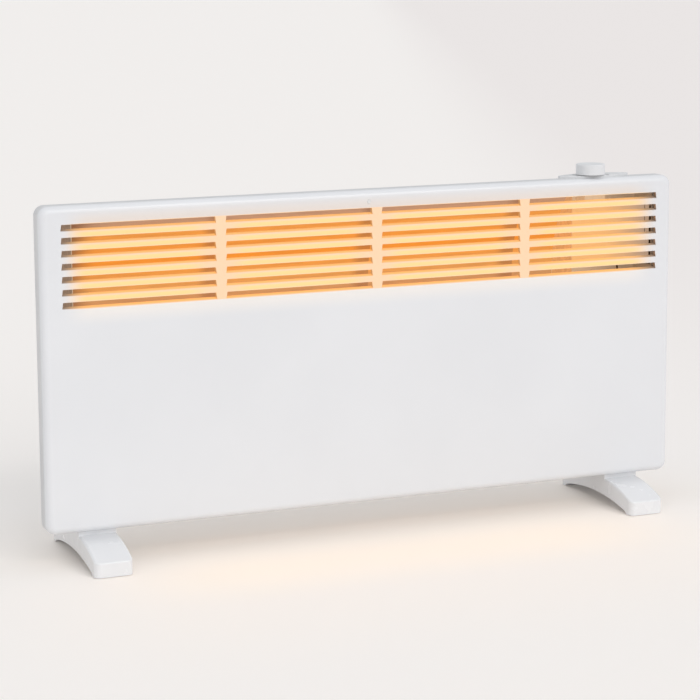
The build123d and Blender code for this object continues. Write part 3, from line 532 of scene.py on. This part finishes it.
# %% [markdown]
# ## The hot duct
# Behind the grille a bright curved sheet turns the hot air forwards. It mirrors the element, so its
# front glows orange: strongest in the middle rows, dull at the top and at the bottom, and it fades
# at the left where the side baffle shades it. The steel round it is galvanised, with the faint
# crystals of a zinc coat, and the plate over the control compartment is lit from its left side.

# %% Bend the air guide
guide_base = 0.285
guide_top = 0.405
shade_left = -0.372
shade_right = -0.330
guide_sheet = finish("guide_sheet", (0.5, 0.2, 0.05), 0.5)
guide_along = axis(guide_sheet, "X")
guide_rows = between(guide_sheet, axis(guide_sheet, "Z"), guide_base, guide_top, curve="LINEAR")
guide_glow = colour_stops(guide_sheet, guide_rows, [
    (0.0, (0.46, 0.24, 0.11)),
    (0.16, (0.56, 0.31, 0.13)),
    (0.30, (0.84, 0.38, 0.09)),
    (0.52, (0.96, 0.31, 0.025)),
    (0.80, (0.90, 0.35, 0.06)),
    (0.93, (0.47, 0.31, 0.20)),
    (1.0, (0.40, 0.28, 0.21)),
])
# Just before each pillar the glow is dimmer, as a painted reflection of the pillars, and only faces toward
# the front glow.
guide_light = product(
    guide_sheet,
    between(guide_sheet, guide_along, shade_left, shade_right),
    between(guide_sheet, cycle(guide_sheet, guide_along, -0.379, group_pitch), 0.86, 0.95, 1.0, 0.45),
    between(guide_sheet, noise(guide_sheet, 22.0, 4.0, (1.0, 1.0, 14.0)), 0.3, 0.7, 0.82, 1.0),
    between(guide_sheet, facing(guide_sheet, "Y"), -0.05, 0.05, 1.0, 0.0),
)
light_up(guide_sheet, blend(guide_sheet, guide_light, (0.14, 0.085, 0.05), guide_glow), 0.8)
drift(guide_sheet, 40.0, (0.30, 0.15, 0.06), (0.25, 0.12, 0.05), (1.0, 1.0, 8.0))
relief(guide_sheet, noise(guide_sheet, 60.0, 2.0, (0.2, 1.0, 3.0)), 0.0004)
dress(guide_sheet, "air_guide")

# %% Fold the steel of the duct
duct_sheet = finish("galvanised_sheet", (0.55, 0.46, 0.38), 0.42, 0.7)
drift(duct_sheet, 160.0, (0.58, 0.49, 0.41), (0.46, 0.38, 0.31))
wear(duct_sheet, 220.0, 0.3, 0.52)
relief(duct_sheet, noise(duct_sheet, 260.0), 0.00003)
# The duct steel gives off painted orange light of the element, from almost none low down to full at the
# height of the grille.
glow_base = 0.12
glow_top = 0.30
duct_light = between(duct_sheet, axis(duct_sheet, "Z"), glow_base, glow_top)
light_up(duct_sheet, blend(duct_sheet, duct_light, (0.03, 0.012, 0.004), (0.36, 0.19, 0.08)))
dress(duct_sheet, "baffle_right", "heat_shield", "element_hanger")

baffle_sheet = finish("left_baffle_sheet", (0.40, 0.34, 0.29), 0.45, 0.5)
drift(baffle_sheet, 160.0, (0.42, 0.36, 0.31), (0.34, 0.29, 0.25))
wear(baffle_sheet, 220.0, 0.35, 0.55)
# The left baffle gives off a dim painted warm light, and a painted highlight runs along its front edge.
edge_front = -0.0196
edge_back = -0.0184
edge_light = between(baffle_sheet, axis(baffle_sheet, "Y"), edge_front, edge_back, 1.0, 0.0)
light_up(baffle_sheet, blend(baffle_sheet, edge_light, (0.15, 0.105, 0.075), (0.36, 0.27, 0.19)))
dress(baffle_sheet, "baffle_left")

# %% Cut the cover of the controls
sheet_left = 0.315
sheet_right = 0.400
sheet_top = 0.398
cover_sheet = finish("control_cover_sheet", (0.62, 0.45, 0.30), 0.5)
sheet_light = product(
    cover_sheet,
    between(cover_sheet, axis(cover_sheet, "X"), sheet_left, sheet_right, 1.0, 0.0),
    between(cover_sheet, axis(cover_sheet, "Z"), sheet_top - 0.020, sheet_top, 1.0, 0.80),
)
light_up(cover_sheet, blend(cover_sheet, sheet_light, (0.46, 0.33, 0.24), (1.0, 0.52, 0.18)), 0.75)
drift(cover_sheet, 50.0, (0.26, 0.20, 0.15), (0.22, 0.17, 0.13), (1.0, 1.0, 6.0))
relief(cover_sheet, noise(cover_sheet, 200.0), 0.00003)
dress(cover_sheet, "control_cover")

# %% [markdown]
# ## The element
# The element is a pressed mica board wound with resistance ribbon. The ribbon glows orange when it
# is hot. Mica is made of flakes, so its board is mottled, and the straps have the dull blue-brown
# of steel that has been hot.

# %% Glow the ribbons
ribbon_steel = finish("hot_ribbon", (0.55, 0.20, 0.06), 0.6, 0.3)
heat = between(ribbon_steel, noise(ribbon_steel, 60.0), 0.3, 0.7)
light_up(ribbon_steel, blend(ribbon_steel, heat, (1.0, 0.22, 0.02), (1.0, 0.42, 0.08)), 2.0)
drift(ribbon_steel, 300.0, (0.55, 0.20, 0.06), (0.40, 0.14, 0.04))
dress(ribbon_steel, "heating_ribbon_front", "heating_ribbon_rear")

# %% Press the mica and bend the straps
mica = finish("mica_board", (0.42, 0.33, 0.22), 0.4)
drift(mica, 260.0, (0.46, 0.36, 0.24), (0.30, 0.22, 0.14))
wear(mica, 400.0, 0.25, 0.6)
relief(mica, noise(mica, 500.0, 3.0), 0.00008)
dress(mica, "mica_board")

strap_steel = finish("blued_strap", (0.42, 0.38, 0.34), 0.38, 0.9)
drift(strap_steel, 180.0, (0.45, 0.40, 0.34), (0.26, 0.25, 0.30))
wear(strap_steel, 250.0, 0.3, 0.5)
dress(strap_steel, "ribbon_link", "element_terminals", "thermal_cutout")

# %% [markdown]
# ## Fastenings, rubber and controls
# The screws are zinc plated and fine-turned. The pads are grey rubber, the inlet bush is white
# rubber, and the controls behind the knob are cream and black mouldings. The wires have the
# standard colours of mains wiring with a thin shine on the insulation.

# %% Plate the screws
screw_zinc = finish("zinc_plate", (0.62, 0.62, 0.60), 0.3, 1.0)
drift(screw_zinc, 400.0, (0.66, 0.65, 0.61), (0.52, 0.54, 0.58))
wear(screw_zinc, 600.0, 0.22, 0.42)
relief(screw_zinc, noise(screw_zinc, 2000.0), 0.00002)
screws = ("case_screws", "foot_screws", "foot_nuts", "thermostat_nut", "thermostat_shaft", "earth_stud")
dress(screw_zinc, *screws)

# %% Mould the small parts
grain_scale = 1800.0
grain_depth = 0.00002


def moulding(name, first, second, roughness, scale, *pieces):
    """A simple moulded finish with a drift of colour, a drift of gloss and a fine relief."""
    made = finish(name, first, roughness)
    drift(made, scale, first, second)
    wear(made, scale * 2.0, roughness - 0.06, roughness + 0.08)
    relief(made, noise(made, grain_scale), grain_depth)
    dress(made, *pieces)
    return made


moulding("pad_rubber", (0.36, 0.36, 0.36), (0.29, 0.29, 0.29), 0.75, 90.0, "foot_pads")
moulding("bush_rubber", (0.66, 0.66, 0.65), (0.60, 0.60, 0.59), 0.6, 120.0, "inlet_bush")
controls = ("thermostat", "terminal_block")
cream = moulding("cream_moulding", (0.50, 0.42, 0.30), (0.44, 0.36, 0.25), 0.42, 80.0, *controls)
# The cream mouldings also give off a painted warm glow.
light_up(cream, (0.42, 0.28, 0.17), 0.8)
moulding("black_moulding", (0.03, 0.03, 0.032), (0.05, 0.05, 0.05), 0.42, 90.0, "tip_switch", "lamp_holder")

# %% Colour the wires
brown_wires = ("wire_supply", "wire_switched", "wire_regulated")
moulding("wire_brown", (0.10, 0.045, 0.02), (0.075, 0.03, 0.015), 0.4, 150.0, *brown_wires)
moulding("wire_blue", (0.02, 0.08, 0.32), (0.015, 0.06, 0.25), 0.4, 150.0, "wire_neutral")
moulding("wire_green", (0.03, 0.22, 0.05), (0.55, 0.50, 0.05), 0.4, 150.0, "wire_earth")
moulding("wire_white", (0.66, 0.66, 0.64), (0.60, 0.60, 0.58), 0.5, 150.0, "wire_element", "lamp_wires")

# %% [markdown]
# ## Dial scale and pointer
# A user reads the setting from a pointer on the knob against short raised ticks on the platform.
# The knob is wider than the platform, so only the ticks at its two sides show. One tick starts as a
# cube at its real size. Its edges are bevelled in edit mode, because a moulded rib has no sharp
# edge. The others are copies, and each is turned about the axis of the knob. The pointer is shaped
# in the same way. It stands on the side of the knob, faces the back when the knob is at rest, and
# rides on the knob.

# %% Shape a rib
knob_axis = Vector((0.3083, -0.0155, 0.0))
platform_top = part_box("control_platform")[1][2]
knob_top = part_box("knob")[1][2]
bevel_share = 0.3


def rib(name, inner, outer, width, low, high, taper=1.0):
    """A bevelled rib along X. The taper is the share of its width that its inner end keeps."""
    middle = (inner + outer) / 2
    bpy.ops.object.select_all(action="DESELECT")
    bpy.ops.mesh.primitive_cube_add(size=1.0, location=(0.0, 0.0, 0.0))
    made = bpy.context.object
    made.name = name
    made.scale = (outer - inner, width, high - low)
    made.location = (middle, 0.0, (low + high) / 2)
    bpy.ops.object.transform_apply(location=True, rotation=False, scale=True)
    bpy.ops.object.mode_set(mode="EDIT")
    bpy.ops.mesh.select_all(action="DESELECT")
    bpy.ops.object.mode_set(mode="OBJECT")
    for vertex in made.data.vertices:
        vertex.select = vertex.co.x < middle
    bpy.ops.object.mode_set(mode="EDIT")
    bpy.ops.transform.resize(value=(1.0, taper, 1.0), center_override=(inner, 0.0, low))
    bpy.ops.mesh.select_all(action="SELECT")
    bpy.ops.mesh.bevel(offset=min(width, high - low) * bevel_share, segments=2, affect="EDGES")
    bpy.ops.mesh.normals_make_consistent(inside=False)
    bpy.ops.object.mode_set(mode="OBJECT")
    return made


# %% Copy a rib, and set it round the knob
smooth_angle = math.radians(40.0)


def copy_of(piece, name):
    """A copy with its own mesh."""
    made = piece.copy()
    made.data = piece.data.copy()
    made.name = name
    bpy.context.scene.collection.objects.link(made)
    return made


def set_round_knob(piece, degrees):
    """Turns a rib about the knob's axis. It ends unturned, with its origin at zero."""
    bpy.ops.object.select_all(action="DESELECT")
    piece.select_set(True)
    bpy.context.view_layer.objects.active = piece
    piece.rotation_euler.z = math.radians(degrees)
    piece.location = knob_axis
    bpy.ops.object.transform_apply(location=True, rotation=True, scale=True)
    bpy.ops.object.shade_smooth_by_angle(angle=smooth_angle)
    piece.select_set(False)


# %% Mould the scale
tick_grey = (0.42, 0.425, 0.435)
tick_plastic = finish("tick_moulding", tick_grey, 0.45)
drift(tick_plastic, 200.0, tick_grey, (0.38, 0.385, 0.395))
wear(tick_plastic, 300.0, 0.38, 0.52)

tick_angles = (211.5, 198.0, 184.5, 171.0, 157.5, 22.5, 9.0, -4.5, -18.0, -31.5)
tick_inner = 0.0202
tick_outer = 0.0236
tick_width = 0.0007
tick_taper = 0.7
tick_low = platform_top - 0.0001
tick_high = platform_top + 0.00025
first_tick = rib("dial_tick_1", tick_inner, tick_outer, tick_width, tick_low, tick_high, tick_taper)
first_tick.data.materials.append(tick_plastic)
ticks = [first_tick]
for number in range(2, len(tick_angles) + 1):
    ticks.append(copy_of(first_tick, f"dial_tick_{number}"))
for tick, degrees in zip(ticks, tick_angles):
    set_round_knob(tick, degrees)
    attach(tick, "case")
print("ticks", len(ticks))

# %% Mould the pointer
pointer_inner = 0.0178
pointer_outer = 0.0189
pointer_width = 0.0014
pointer_low = knob_top - 0.0125
pointer_high = knob_top - 0.0016
pointer_angle = 45.0
pointer = rib("knob_pointer", pointer_inner, pointer_outer, pointer_width, pointer_low, pointer_high)
pointer.data.materials.append(tick_plastic)
set_round_knob(pointer, pointer_angle)
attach(pointer, "knob")
print("pointer", round((pointer_high - pointer_low) * 1000, 2), "mm tall")

# %% [markdown]
# ## Pieces without a finish
# It lists each piece of the engineering model that is left without a finish.

# %% List the pieces without a finish
undressed = [name for name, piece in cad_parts.items() if not piece.material_slots]
print("pieces without a finish", undressed)
